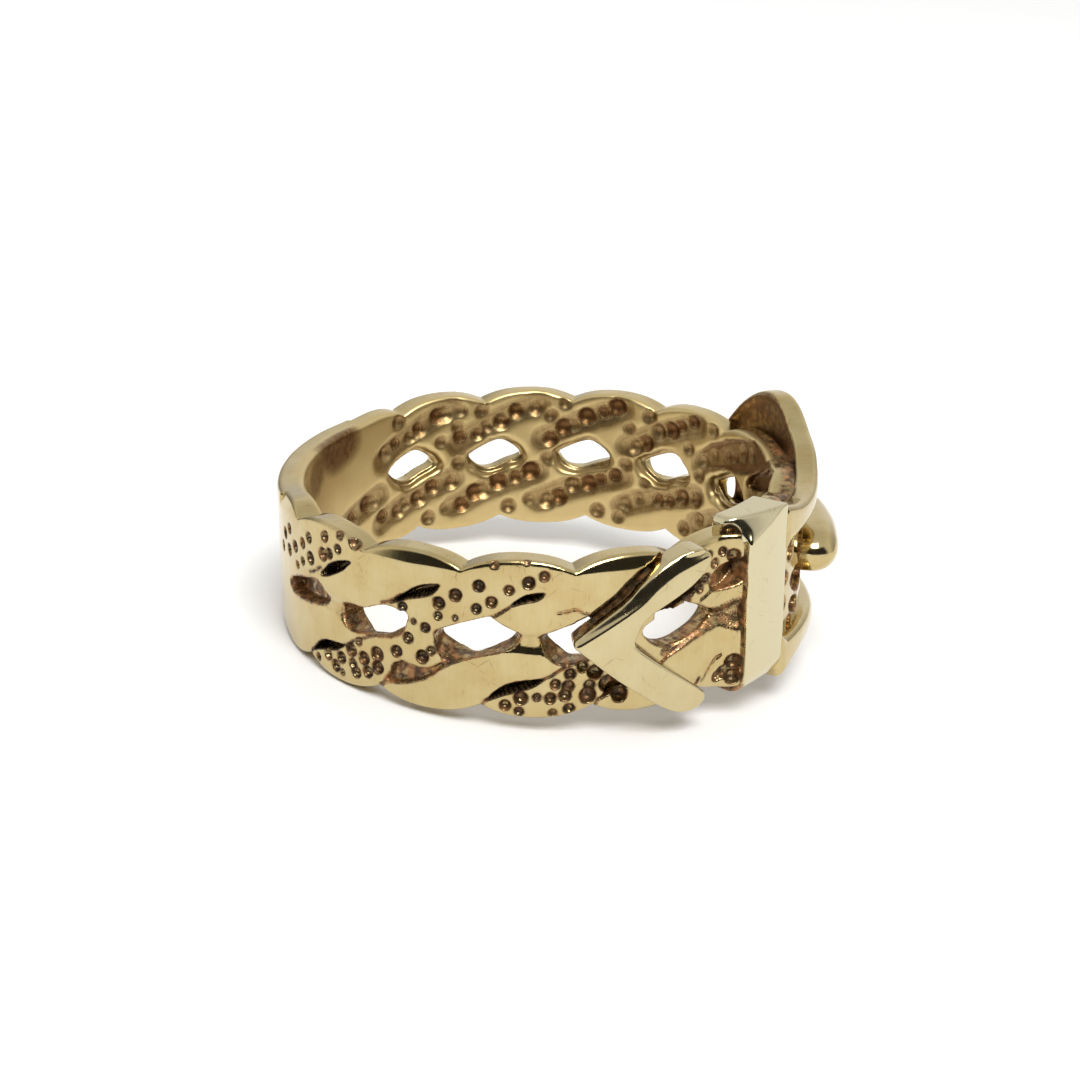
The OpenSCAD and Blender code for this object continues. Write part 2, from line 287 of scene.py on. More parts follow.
# The hollows in the backs of the strands
HOLLOWS = [
    [(2, 0.9), (14, 1.9), (24.5, 2.55)],
    [(-23, -1.95), (-11, -1.15), (0.5, -0.65)],
]
HOLLOW_W = 0.8
HOLLOW_DEPTH = 0.14
# The round pits in each, and their depth's share of their width
HOLLOW_PITS = 6
HOLLOW_PIT_DEPTH = 0.36

# Drilled pits: [angle, height, width]
PITS = [
    (157.5, 1, 0.45), (153.5, 1.4, 0.45), (149.3, 1.8, 0.4), (146.2, 2.2, 0.4), (145.8, 1.4, 0.5),
    (149.5, 1.05, 0.3), (152.5, 0.7, 0.3), (140.8, 1.85, 0.5), (138.5, 2, 0.4), (140, 2.6, 0.4),
    (135, 2.9, 0.35), (135.5, 2.35, 0.35), (130.5, 2.85, 0.55), (157, 1.9, 0.4), (160.5, 1.5, 0.45),
    (163, 0.8, 0.4), (144, -2.55, 0.3), (140.2, -2.2, 0.45), (137.5, -2.5, 0.45),
    (135.5, -2.05, 0.45), (135.3, -2.65, 0.25), (132.3, -1.55, 0.5), (132, -2.1, 0.4),
    (131, -2.4, 0.45), (128.7, -1.7, 0.5), (127.7, -2.2, 0.45), (125, -1.35, 0.55),
    (125, -1.9, 0.5), (130, -1.1, 0.3), (120, -1, 0.45), (119.7, -1.72, 0.55), (114, -1, 0.5),
    (118.3, 0.85, 0.35), (118.3, 0.45, 0.4), (115.8, 0.35, 0.2), (113.2, 0.2, 0.35),
    (117.2, -0.35, 0.4), (112, -0.7, 0.35), (110.3, 0.75, 0.3), (110.1, 1.25, 0.45),
    (106.6, 0.75, 0.2), (106.5, 1.65, 0.45), (102.2, 1.2, 0.35), (101.6, 2.1, 0.42),
    (99.1, 1.5, 0.4), (95.5, 2, 0.35), (91.6, 2.3, 0.45), (88.5, 2.55, 0.35), (96.5, -2.55, 0.4),
    (93.3, -2.25, 0.5), (93.7, -2.8, 0.35), (90, -2.2, 0.3), (87.3, -2.25, 0.42),
    (86.8, -2.85, 0.3), (83.5, -2.7, 0.4), (86.3, -1.7, 0.38), (83.7, -1.8, 0.45),
    (84.3, -2.15, 0.45), (83.3, -1.3, 0.4), (80.8, -1.05, 0.4), (78.2, -1.3, 0.55),
    (79.3, -1.8, 0.4), (79.7, -2.2, 0.6), (75.5, -1.8, 0.65), (73, -2.3, 0.6), (52.5, 2.5, 0.3),
    (48.9, 2.5, 0.3), (46.9, 2.3, 0.5), (50.8, 2.1, 0.35), (53, 1.6, 0.35), (54.7, 1.25, 0.3),
    (57, 1.2, 0.25), (57.8, 0.95, 0.3), (46.2, -2.05, 0.7), (46.4, -2.6, 0.6), (48, -2.4, 0.5),
    (49.5, -2.55, 0.35), (98.5, 2.95, 0.3), (92, 3.1, 0.3), (84.5, 3.1, 0.35), (23.5, 1.85, 0.9),
    (23.5, 1.05, 0.7), (22.5, -1.98, 0.5), (27, -0.9, 0.6),
]
# Wide recesses left by the casting, in the outer face
RECESSES = [
    [(123.8, -2.36), (121.5, -1.85), (119, -1.26), (117.2, -1.42), (113, -1.5), (109, -0.98),
     (109.4, -1.3), (112.6, -1.8), (116.5, -2.12), (120.4, -2.32)],
    [(52.5, 1.45), (51, 1.75), (48.5, 2), (45, 2.15), (42.5, 1.95), (43, 1.55), (46, 1.2),
     (49, 0.95), (51.5, 1)],
    [(16, 1.6), (7.5, 1.25), (6.5, 0.4), (7.5, -0.45), (14, -0.1), (18, 0.7)],
    [(24, -0.15), (18, 0.05), (12, -0.25), (7.5, -0.95), (12, -1.25), (18, -1.05)],
    [(23.5, -1.25), (20.5, -1.05), (15, -1.45), (14.5, -1.85), (19.5, -1.85)],
]
RECESS_DEPTH = 0.32
RECESS_SLOPE = 0.15
# The grooves along the foot of the tip's upper arm and beside the keeper
FOOT_GROOVES = [
    [(81.5, 0.55), (76.5, 0.98), (72.5, 1.62), (68.5, 2.36), (64, 2.8)],
    [(64.5, 0.6), (61.5, 0.92), (58, 1.22), (54.5, 1.62)],
]
FOOT_W = 0.32
FOOT_DEPTH = 0.4
# Cracks and seams on the polished strands
CRACKS = [
    [(124.5, -2.55), (121.5, -2.3), (116, -1.75), (112.5, -1.65), (109, -1.15), (101.5, -0.5)],
    [(86, 1.1), (83.8, 1.16), (82, 1.25), (80.8, 1.08), (79.8, 1.02)],
    [(53.5, -2.5), (50.5, -1.85), (46.5, -1.5), (44, -1.2)],
]

# Inside the band: soft brown spots [angle, height, width], and recesses as outlines with their
# depth and stain
INNER_SPOTS = [
    (-130, 2.4, 0.6), (-115.5, 2.4, 0.55), (-111, 2.4, 0.5), (-105, 2.3, 0.6), (-121.5, -2.3, 0.6),
    (-116, -2, 0.5), (-98, -2.2, 0.6), (-92, -1.9, 0.55), (-82, 2.6, 0.5), (-86, 2, 0.55),
    (-73, -2.3, 0.6), (-67, -2.5, 0.5), (-58, 2.4, 0.6), (-36, 2.6, 0.5), (-46, -2.3, 0.6),
    (-59, -0.7, 0.5), (-117, 1.1, 0.5), (-112, 1.7, 0.5), (-64, 1.7, 0.5), (-45, 1.4, 0.5),
    (-112, 0, 0.6), (-87, 0, 0.6), (-65, 0, 0.6), (-41, 0.35, 0.5),
]
SPOT_DEPTH = 0.3
INNER_RECESSES = [
    ([(-42, 1.15), (-39.5, 1.7), (-31.5, 2.35), (-18.5, 3.05), (-7.5, 3), (-0.5, 2.65), (-11, 2),
      (-22.5, 1.35), (-33.5, 1), (-40.5, 0.75)], 0.16, 0.8),
    ([(-20, 1.35), (-10, 2.1), (-0.5, 2.75), (1, 2.3), (-0.5, 1.85), (-10, 1.3),
      (-19.5, 0.8)], 0.4, 1),
]
# Brown patches inside the shank: [angle, height, reach round, reach up, stain]
BROWN_PATCHES = [
    (-155, 2.2, 13, 1.1, 0.75), (-168, 1.8, 9, 1, 0.6), (178, 1.6, 9, 0.9, 0.4),
    (-150, -2.2, 9, 0.5, 0.3),
]

# Outlines of the raised pieces
TIP = [
    (83.6, 0.08), (80.5, 0.5), (77, 0.95), (72.5, 1.52), (69, 2.2), (64.5, 2.8), (61, 3.04),
    (58.2, 3.16), (55.8, 3.1), (54.6, 2.84), (55, 2.46), (57.9, 1.92), (63, 1.4), (69, 0.88),
    (71.2, 0.06), (71, -0.18), (66, -1), (60.5, -1.8), (56, -2.46), (55.2, -2.78), (55.9, -3.02),
    (58, -3.2), (61, -3.22), (64.5, -2.92), (70, -2.14), (75.5, -1.32), (81.5, -0.28),
]
# The frame's upper half, from the keeper round the lobe to the cusp, and its opening's
FRAME_OUTER = [
    (33.5, 3.62), (30, 3.42), (24, 3.1), (16, 2.98), (10, 3.04), (5, 3.22), (0, 3.68), (-4, 3.88),
    (-8, 4.08), (-13.5, 4.62), (-17, 4.85), (-20.5, 4.88), (-25, 4.72), (-29, 4.38), (-33.5, 3.78),
    (-37.5, 2.95), (-39.8, 2.3), (-40.6, 1.75), (-39.8, 1.3), (-37.2, 1.02), (-35.2, 0.62),
    (-34.2, 0),
]
FRAME_INNER = [
    (33.5, 1.95), (24, 2.02), (13, 2.12), (2, 2.28), (-8, 2.42), (-18, 2.36), (-24, 1.95),
    (-27.6, 1.2), (-28.6, 0),
]
PRONG_OUTLINE = [
    (14.5, 0), (13.6, 0.5), (10.8, 0.82), (5, 0.96), (-4, 0.98), (-16, 0.92), (-26, 0.8),
    (-31.5, 0.68), (-33.6, 0.4), (-34, 0),
]


# Signed distances, in millimetres: negative inside


def chaikin(outline, passes=2, closed=True):
    """The outline with its corners cut, a few times over."""
    points = np.array(outline, float)
    for _ in range(passes):
        after = np.roll(points, -1, axis=0) if closed else points[1:]
        before = points if closed else points[:-1]
        cut = np.stack([0.75 * before + 0.25 * after, 0.25 * before + 0.75 * after], 1)
        cut = cut.reshape(-1, 2)
        points = cut if closed else np.concatenate([points[:1], cut, points[-1:]])
    return points


def segment_distance(x, y, start, end):
    """Distance to a straight segment."""
    dx, dy = end[0] - start[0], end[1] - start[1]
    along = np.clip(((x - start[0]) * dx + (y - start[1]) * dy) / (dx * dx + dy * dy + 1e-12), 0, 1)
    return np.hypot(x - start[0] - along * dx, y - start[1] - along * dy)


def line_distance(x, y, points):
    """Distance to a line of straight segments."""
    return np.minimum.reduce([segment_distance(x, y, p, q) for p, q in zip(points, points[1:])])


def outline_distance(x, y, outline):
    """Signed distance to a closed outline."""
    nearest = np.full(np.broadcast(x, y).shape, FAR_OFF)
    inside = np.zeros(nearest.shape, bool)
    for start, end in zip(outline, np.roll(outline, -1, axis=0)):
        nearest = np.minimum(nearest, segment_distance(x, y, start, end))
        spans = (start[1] <= y) != (end[1] <= y)
        rise = end[1] - start[1]
        if rise:
            inside ^= spans & (x < start[0] + (y - start[1]) * (end[0] - start[0]) / rise)
    return np.where(inside, -nearest, nearest)


def outline_field(a, z, outline, radius, passes=2):
    """Signed distance to an outline of [angle, height] points, rounded, at a radius."""
    scale = math.radians(radius)
    points = chaikin(np.array(outline, float) * (scale, 1), passes)
    return outline_distance(a[:, :, 0] * scale, z[:, :, 0], points)[:, :, None]


def whole(half):
    """The outline whose lower half is the mirror image of the upper one."""
    return half + [(angle, -height) for angle, height in reversed(half) if height]


def round_and(first, second, radius):
    """What lies in both forms, its edge rounded to a radius."""
    over = np.hypot(np.maximum(first + radius, 0), np.maximum(second + radius, 0)) - radius
    return np.where((first > -radius) & (second > -radius), over, np.maximum(first, second))


def fade(value, start, end):
    """A smooth step from 0 at start to 1 at end."""
    share = np.clip((value - start) / (end - start), 0, 1)
    return share * share * (3 - 2 * share)


def window(value, rise, fall):
    """A smooth step up over the stretch rise, and down again over fall."""
    return fade(value, *rise) * (1 - fade(value, *fall))


CORNERS = [(i, j, k) for i in (0, 1) for j in (0, 1) for k in (0, 1)]
# The noise's lattice repeats after this many steps
LATTICE = 32


def rough(points, size, rng):
    """Smooth noise from -1 to 1 at points in millimetres."""
    lattice = rng.uniform(-1, 1, (LATTICE, LATTICE, LATTICE))
    spot = points / size
    base = np.floor(spot).astype(int)
    share = spot - base
    share = share * share * (3 - 2 * share)
    value = np.zeros(len(points))
    for corner in CORNERS:
        weight = np.prod([share[:, d] if corner[d] else 1 - share[:, d] for d in range(3)], axis=0)
        value += weight * lattice[tuple((base + corner).T % LATTICE)]
    return value


def ripple(a, z, size):
    """Smooth noise over the angles and heights of some slices of a grid."""
    x, y = np.broadcast_arrays(a[:, :, 0] * DEGREE, z[:, :, 0])
    points = np.stack([x.ravel(), y.ravel(), np.zeros(x.size)], 1)
    return rough(points, size, np.random.default_rng(SEED)).reshape(x.shape)


class Grid:
    """A grid of angle, height and radius that holds a form's field and its finish."""

    def __init__(self, angles, heights, radii, step):
        self.step = step
        self.step_a = step / DEGREE
        self.a = np.arange(angles[0], angles[1], self.step_a)[:, None, None]
        self.z = np.arange(heights[0], heights[1], step)[None, :, None]
        self.r = np.arange(radii[0], radii[1], step)[None, None, :]
        self.shape = (self.a.size, self.z.size, self.r.size)
        self.field = np.full(self.shape, FAR_OFF, np.float32)
        # Brown stain in the recesses, painted brown shade in places, painted black shade in the
        # slits, pits and grooves, and the satin of the inside
        self.stain, self.soot, self.satin = np.zeros((3, *self.shape), np.float32)
        # How pale the whole piece is
        self.pale = 0.0

    def part(self, low, high, reach_a, reach_z):
        """The slices of the grid round a stretch of angles and heights, and their values."""
        here = []
        for d, (values, reach) in enumerate(((self.a.ravel(), reach_a), (self.z.ravel(), reach_z))):
            near = np.nonzero((values >= low[d] - reach) & (values <= high[d] + reach))[0]
            if not len(near):
                return None
            here.append(slice(near[0], near[-1] + 1))
        return tuple(here), self.a[here[0]], self.z[:, here[1]], self.r

    def cut(self, here, form, cut):
        """Take a form out of the field, and lay brown stain and painted shade on what the cut lays
        bare.
        """
        self.field[here] = round_and(self.field[here], -form, cut.edge)
        bare = 1 - fade(form, 0.01, 0.01 + cut.spread)
        self.stain[here] = np.maximum(self.stain[here], cut.stain * bare)
        self.soot[here] = np.maximum(self.soot[here], cut.soot * bare)


# The band


def rim_height(angle, lower):
    """Height of the band's edge: a row of scallops, and the lower shank."""
    height = np.full(angle.shape, SHANK_HALF)
    for braid in (NEAR, FAR):
        along = braid["side"] * angle
        past = along - braid["first"] if lower else braid["first"] - along
        share = (past / braid["pitch"] - NOTCH_AT) % 1.0
        scallop = BAND_HALF - SCALLOP_DEPTH * np.abs(2 * share - 1) ** SCALLOP_POWER
        on_braid = 1 - fade(along, braid["shank"] - SHANK_FADE[0], braid["shank"] + SHANK_FADE[1])
        height = np.where(along > 0, SHANK_HALF + (scallop - SHANK_HALF) * on_braid, height)
    return height


def rim_facet(angle):
    """How far below the upper edge its facet starts, and the facet's slope."""
    start = np.full(angle.shape, FACET_LOW)
    slope = np.full(angle.shape, POLISHED_SLOPE)
    for braid in (NEAR, FAR):
        along = braid["side"] * angle
        steps = (braid["first"] - along) / braid["pitch"] - NOTCH_AT
        here = (along > 0) & (steps > FACETS_FROM)
        start = np.where(here, FACET_LOW + FACET_MORE * (1 - (2 * (steps % 1) - 1) ** 2), start)
        slope = np.where(here & (np.floor(steps) % 2 == 0), PITTED_SLOPE, slope)
    return start, slope


def outer_radius(angle, height):
    """Radius of the outer faces: the band, and the strap where it stands higher."""
    raised = STRAP_RISE * window(angle, *STRAP_ENDS) * (1 - fade(np.abs(height), *STRAP_EDGE))
    return FACE_R + raised + KEEPER_RAMP * window(angle, *RAMP_ENDS)


def narrowed(chart):
    """A chart of the near holes drawn in to the far ones' size."""
    middle = np.array(HOLE_MIDDLE)
    return [tuple(middle + (np.array(point) - middle) * FAR_SHARE) for point in chart]


def carve(grid, points, reach, cut, shape):
    """Cut the form that shape(a, z, r) gives into the part of the grid round some points."""
    points = np.array(points, float)
    found = grid.part(points.min(0), points.max(0), *reach)
    if found:
        here, a, z, r = found
        grid.cut(here, shape(a, z, r), cut)


def cut_outline(grid, outline, cut, floor_r=None, slope=0.0, flare=0.0, passes=2):
    """Cut an outline into the outer face, down to a radius. It closes in at a slope, or flares
    out where the metal thins."""

    def shape(a, z, r):
        form = outline_field(a, z, outline, FACE_R, passes)
        form = form + slope * (FACE_R - r) - flare * np.maximum(THIN_R - r, 0)
        return form if floor_r is None else round_and(form, floor_r - r, FLOOR_ROUND)

    carve(grid, outline, REACH, cut, shape)


def loft_hole(grid, outer, inner):
    """Cut a hole whose outline changes from the outer face to the inner one."""

    def shape(a, z, r):
        top, bottom = (outline_field(a, z, outline, FACE_R) for outline in (outer, inner))
        share = np.clip((FACE_R - r) / (FACE_R - BORE_R), 0, 1)
        return top + (bottom - top) * share + LOFT_WAVES * ripple(a, z, 0.5)[:, :, None] * share

    carve(grid, outer + inner, REACH, LOFTED, shape)


def cut_groove(grid, line, width, middle_r, depth, cut, uneven=0.0):
    """Cut a groove of oval section along a line, at a radius."""
    scale = math.radians(middle_r)
    path = chaikin(np.array(line, float) * (scale, 1), closed=False)
    half = width / 2

    def shape(a, z, r):
        away = line_distance(a[:, :, 0] * scale, z[:, :, 0], path)
        if uneven:
            away = away + uneven * ripple(a, z, 0.45)
        return (np.hypot(away[:, :, None] / half, (r - middle_r) / depth) - 1) * min(half, depth)

    carve(grid, line, REACH, cut, shape)


def cut_pit(grid, angle, height, width, surface_r, cut, depth=0.6, inside=False):
    """Cut one round pit, its floor a share of its width below the surface."""
    deep = depth * width
    ball = ((width / 2) ** 2 + deep**2) / (2 * deep)
    middle = surface_r + (deep - ball if inside else ball - deep)

    def shape(a, z, r):
        away = np.hypot((a - angle) * math.radians(surface_r), z - height)
        return np.hypot(away, r - middle) - ball

    carve(grid, [(angle, height)], (width / DEGREE + 1, width + 0.2), cut, shape)


def dig_inside(grid, outline, depth, cut, wider=0.0):
    """Cut a recess into the inner face."""

    def shape(a, z, r):
        waves = DUG_WAVES * ripple(a, z, 0.35)[:, :, None]
        form = outline_field(a, z, outline, FACE_R) - wider + waves
        return round_and(form, r - BORE_R - depth, FLOOR_ROUND)

    carve(grid, outline, INNER_REACH, cut, shape)


def hollow_back(grid, line, seed):
    """The soft hollow in the back of a strand, with a row of round pits along it."""
    cut_groove(grid, line, HOLLOW_W, BORE_R, HOLLOW_DEPTH, HOLLOW, uneven=0.04)
    rng = np.random.default_rng(SEED + seed)
    start, end = np.array(line[0]), np.array(line[2])
    for share in np.linspace(0.06, 0.94, HOLLOW_PITS):
        angle, height = start + (end - start) * share + rng.uniform(-1, 1, 2) * (1.1, 0.2)
        width = rng.uniform(0.5, 0.8)
        cut = DUG._replace(stain=rng.uniform(0.6, 1.0))
        cut_pit(grid, angle, height, width, BORE_R + 0.05, cut, HOLLOW_PIT_DEPTH, inside=True)


def brown_patch_inside(grid, angle, height, reach_a, reach_z, stain):
    """Colour a patch of the inner face brown."""
    found = grid.part((angle, height), (angle, height), reach_a * 1.5, reach_z * 1.5)
    if found:
        here, a, z, r = found
        away = np.hypot((a - angle) / reach_a, (z - height) / reach_z)
        away = away + 0.2 * ripple(a, z, 1.4)[:, :, None]
        patch = stain * (1 - fade(away, 0.5, 1.2)) * (1 - fade(r - BORE_R, 0.2, 0.4))
        grid.stain[here] = np.maximum(grid.stain[here], patch)


def pierce(grid, here, near, number):
    """The hole beside a crossing."""
    if not near:
        hole = here(narrowed(PIERCED_HOLE))
        dig_inside(grid, hole, BEVEL_DEPTH, FAR_BEVEL, BEVEL_WIDER)
        cut_outline(grid, hole, FAR_HOLE, flare=THIN_SLOPE)
        wall = here(narrowed(HOLE_RAMP))
        cut_outline(grid, wall, FAR_WALL, BORE_R + FAR_WALL_FLOOR, WALL_SLOPE)
    elif number == BLIND_CROSSING:
        cut_outline(grid, BLIND_HOLE, BLIND, BLIND_R, BLIND_SLOPE)
    elif number in NEAR_HOLES:
        loft_hole(grid, *NEAR_HOLES[number])
    else:
        tip = number == TIP_CROSSING
        cut_outline(grid, TIP_HOLE if tip else here(PIERCED_HOLE), HOLE, flare=THIN_SLOPE)
        wall = TIP_HOLE_WALL if tip else here(HOLE_RAMP)
        cut_outline(grid, wall, SLANTED_WALL, BORE_R + WALL_FLOOR, WALL_SLOPE)


def slit(grid, outline, soot=1.0):
    """A slit between two strands, painted black as shade."""
    cut_outline(grid, outline, SLIT._replace(soot=soot), FACE_R - SLIT_DEPTH, SLIT_SLOPE, passes=1)


def dress_crossing(grid, braid, number):
    """The hole, slits, fine lines and hollows that belong to one crossing."""
    near = braid is NEAR
    last = number == braid["count"] - 1
    crossing = braid["side"] * (braid["first"] - number * braid["pitch"])

    def here(chart):
        return [(crossing - braid["side"] * past, height) for past, height in chart]

    if not last:
        pierce(grid, here, near, number)
    if near and number in SADDLES:
        cut_groove(grid, here(SADDLE), SADDLE_W, FACE_R, SADDLE_DEPTH, WORN_SADDLE)
    upper = UPPER_SLITS[number] if near else LONG_SLIT
    if upper and not last:
        slit(grid, here(upper))
    if number in LOWER_SLITS or not near and not last:
        slit(grid, here(LOWER_SLIT), TIP_SLIT_BLACK_SHADE if near and number == TIP_CROSSING else 1.0)
    if not last and (number or not near):
        for chart in FINE_LINES:
            cut_groove(grid, here(chart), LINE_W, FACE_R, LINE_DEPTH, FINE_LINE)
    for chart in HOLLOWS:
        hollow_back(grid, here(chart), number + 10 * near)


def shape_strands(grid):
    """The band before it is cut: its faces, edges and facets, and the satin of its inside."""
    a, z, r = grid.a, grid.z, grid.r
    side = np.where(z > 0, z - rim_height(a, False), -z - rim_height(a, True))
    start, slope = rim_facet(a)
    slope = np.where(z > 0, slope, LOWER_SLOPE)
    face = r - outer_radius(a, z)
    facet = (face + slope * (side + np.where(z > 0, start, FACET_LOW))) / np.hypot(1, slope)
    grid.field[:] = round_and(round_and(face, facet, FACET_EDGE), side, RIM_ROUND)
    grid.field[:] = round_and(grid.field, BORE_R - r, INNER_ROUND)
    deep = np.where((a > 0) & (a < 175), *SATIN_DEPTH)
    grid.satin[:] = 1 - fade(r - BORE_R, deep - SATIN_FADE, deep)


def braided_band():
    """The band's grid: strands, holes, slits, pits and the hollows in their backs."""
    grid = Grid((-167.0, 193.0), (-3.4, 3.4), (8.95, 10.85), BAND_STEP)
    shape_strands(grid)
    for braid in (NEAR, FAR):
        for number in range(braid["count"]):
            dress_crossing(grid, braid, number)
    for outline in RECESSES:
        cut_outline(grid, outline, RECESS, outer_radius(*outline[0]) - RECESS_DEPTH, RECESS_SLOPE)
    for line in FOOT_GROOVES:
        cut_groove(grid, line, FOOT_W, FACE_R, FOOT_DEPTH, FOOT, uneven=0.06)
    for line in CRACKS:
        cut_groove(grid, line, LINE_W, FACE_R, CRACK_DEPTH, CRACK)
    for angle, height, width in PITS:
        # Their painted black shade is lighter under the buckle, and darker between the first two
        # near holes
        soot = 0.25 if angle < 30 else 0.78 if 100 < angle < 125 and height > 0 else PIT.soot
        cut = PIT._replace(soot=soot)
        cut_pit(grid, angle, height, width, outer_radius(angle, height), cut)
    for angle, height, width in INNER_SPOTS:
        cut_pit(grid, angle, height, width, BORE_R, INNER_SPOT, SPOT_DEPTH, inside=True)
    for outline, depth, stain in INNER_RECESSES:
        dig_inside(grid, outline, depth, DUG._replace(stain=stain))
    for angle, *patch in BROWN_PATCHES:
        # Once more a full turn on, for what reaches over the grid's end
        for lap in (0, 360):
            brown_patch_inside(grid, angle + lap, *patch)
    # Painted shade: the edge of the strap is coloured brown and roughened where the buckle's frame
    # shades it
    under = window(grid.a, (-22, -18), (28, 32))
    shaded = under * fade(np.abs(grid.z), 2.5, 2.7) * fade(grid.r, 9.5, 9.8)
    grid.stain[:] = np.maximum(grid.stain, 0.8 * shaded)
    return grid


# The raised pieces


def strap_tip():
    """The strap's end: two flat arms that meet in a point, with a facet along their edge."""
    grid = Grid((50.0, 87.0), (-3.8, 3.7), (TIP_R[0] - 0.3, TIP_R[1] + 0.3), PIECE_STEP)
    a, z, r = grid.a, grid.z, grid.r
    form = outline_field(a, z, TIP, TIP_R[1], 1)
    # The facet is wide along the upper side of the upper arm, above the arm's middle line
    middle = 0.5 + (77 - a) * 0.105
    wide = fade(z - middle, 0, 0.3) * (1 - fade(z, 2.9, 3.2))
    start = TIP_FACET_LOW + TIP_FACET_MORE * wide
    face = r - TIP_R[1]
    facet = (face + TIP_SLOPE * (form + start)) / math.hypot(1, TIP_SLOPE)
    grid.field[:] = round_and(round_and(face, facet, FACET_EDGE), form, 0.1)
    grid.field[:] = round_and(grid.field, TIP_R[0] - r, WORN)
    # Painted shade: the low part of its walls, where it meets the band, is coloured brown
    grid.stain[:] = 0.9 * (1 - fade(r, FACE_R + 0.05, FACE_R + 0.25)) * (1 - fade(z, 2.2, 2.7))
    # Painted shade: the walls in the corner between the arms are coloured brown up to their edge
    corner = window(a, (58, 62), (73, 74)) * (1 - fade(np.abs(z), 1.0, 1.6))
    grid.stain[:] = np.maximum(grid.stain, corner * (1 - fade(r, TIP_R[1] - 0.2, TIP_R[1] - 0.08)))
    grid.pale = TIP_PALE
    return grid


def keeper():
    """The loop over the strap: a flat front bar with an end over each edge of the band."""
    grid = Grid((26.0, 54.0), (-4.0, 4.2), (9.0, 11.5), PIECE_STEP)
    a, z, r = grid.a, grid.z, grid.r
    # The cap at the top flares out where it meets the band
    flare = CAP_FLARE * fade(z, 2.5, 3.1) * fade(10.9 - r, 0, 0.8)
    sides = np.maximum(a - KEEPER_A[1] - flare, KEEPER_A[0] - a) * math.radians(KEEPER_R)
    # The front rounds in to the foot, and has a slanting facet at the top
    front = round_and(r - KEEPER_R, -z - KEEPER_FOOT, KEEPER_FOOT_ROUND)
    facet_z = np.minimum(2.85 + (43.5 - a) * 0.085, KEEPER_TOP)
    facet = ((r - KEEPER_R) + CAP_SLOPE * (z - facet_z)) / math.hypot(1, CAP_SLOPE)
    front = round_and(round_and(front, facet, WORN), z - KEEPER_TOP, 0.06)
    corner = 0.1 + 0.2 * fade(z, 2.7, 3.2) * fade(a, 40, 43)
    # Underneath it leaves room for the strap, and its ends reach in over the band's edges
    under = np.minimum(10.1 - r, np.maximum(9.55 - r, 3.02 - np.abs(z)))
    grid.field[:] = round_and(round_and(front, sides, corner), under, WORN)
    # Painted shade: what lies below the band's face, under the front bar, is coloured brown
    grid.stain[:] = 0.8 * (1 - fade(r, 10.3, 10.5)) * (np.abs(z) < 3.0)
    # Painted shade: the wall towards the tip is coloured brown all but its edge
    wall = (1 - fade(r, 10.86, 10.96)) * fade(a, 44.0, 44.5) * (1 - fade(z, 2.4, 2.6))
    grid.stain[:] = np.maximum(grid.stain, wall)
    grid.pale = KEEPER_PALE
    cut_pit(grid, *CAP_HOLLOW, CAP_PIT)
    return grid


def buckle_frame():
    """The frame: a curved plate with a lobe above and below, and its opening."""
    grid = Grid((-46.0, 38.0), (-5.2, 5.2), (9.8, 11.5), FRAME_STEP)
    edge, gap = (
        outline_field(grid.a, grid.z, whole(half), FRAME_R[1])
        for half in (FRAME_OUTER, FRAME_INNER)
    )
    form = round_and(edge, -gap, 0.15)
    # The back is hollowed a little behind the rim
    back = FRAME_R[0] + FRAME_HOLLOW * fade(-form, 0.1, 0.5)
    grid.field[:] = round_and(form, grid.r - FRAME_R[1], FRAME_FRONT_ROUND)
    grid.field[:] = round_and(grid.field, back - grid.r, FRAME_BACK_ROUND)
    # Painted shade: the back behind the rim is coloured brown, with the inside's satin tone
    shaded = fade(-form, 0.0, 0.12) * (1 - fade(grid.r, back + 0.03, back + 0.12))
    grid.stain[:] = shaded
    grid.satin[:] = 0.8 * shaded
    return grid


def prong():
    """The prong: a rounded tongue over the strap."""
    grid = Grid((-39.0, 18.0), (-1.3, 1.3), (10.2, 12.4), PIECE_STEP)
    outline = [(a, z + PRONG_LIFT) for a, z in whole(PRONG_OUTLINE)]
    form = outline_field(grid.a, grid.z, outline, PRONG_MIDDLE_R)
    top = PRONG_R - PRONG_DROP * fade(np.abs(grid.a + 1), 8, 24)
    grid.field[:] = round_and(form, grid.r - top, PRONG_ROUND)
    grid.field[:] = round_and(grid.field, PRONG_FOOT_R - grid.r, WORN)
    return grid


# From grids to meshes

CELL_EDGES = [
    (p, q) for p in range(8) for q in range(p + 1, 8)
    if sum(abs(u - v) for u, v in zip(CORNERS[p], CORNERS[q])) == 1
]
# How far metal with stain and painted shade is roughened and all metal wavers, in millimetres
ROUGHNESS = 0.018
WAVES = 0.007
# How often the grid's steps are smoothed away
SMOOTHINGS = 2


def at_corners(values, cells):
    """A grid's values at the eight corners of some cells."""
    spots = [cells + corner for corner in CORNERS]
    return [values[spot[:, 0] % len(values), spot[:, 1], spot[:, 2]] for spot in spots]


def cell_points(field, cells):
    """A point in each cell: the mean of the spots where the surface crosses its edges."""
    values = np.stack(at_corners(field, cells), 1)
    total = np.zeros((len(cells), 3))
    weight = np.zeros(len(cells))
    for p, q in CELL_EDGES:
        crossed = (values[:, p] < 0) != (values[:, q] < 0)
        gap = np.where(crossed, values[:, p] - values[:, q], 1)
        share = (values[:, p] / gap)[:, None]
        point = np.array(CORNERS[p]) + share * (np.array(CORNERS[q]) - np.array(CORNERS[p]))
        total += np.where(crossed[:, None], point, 0)
        weight += crossed
    return cells + total / weight[:, None]


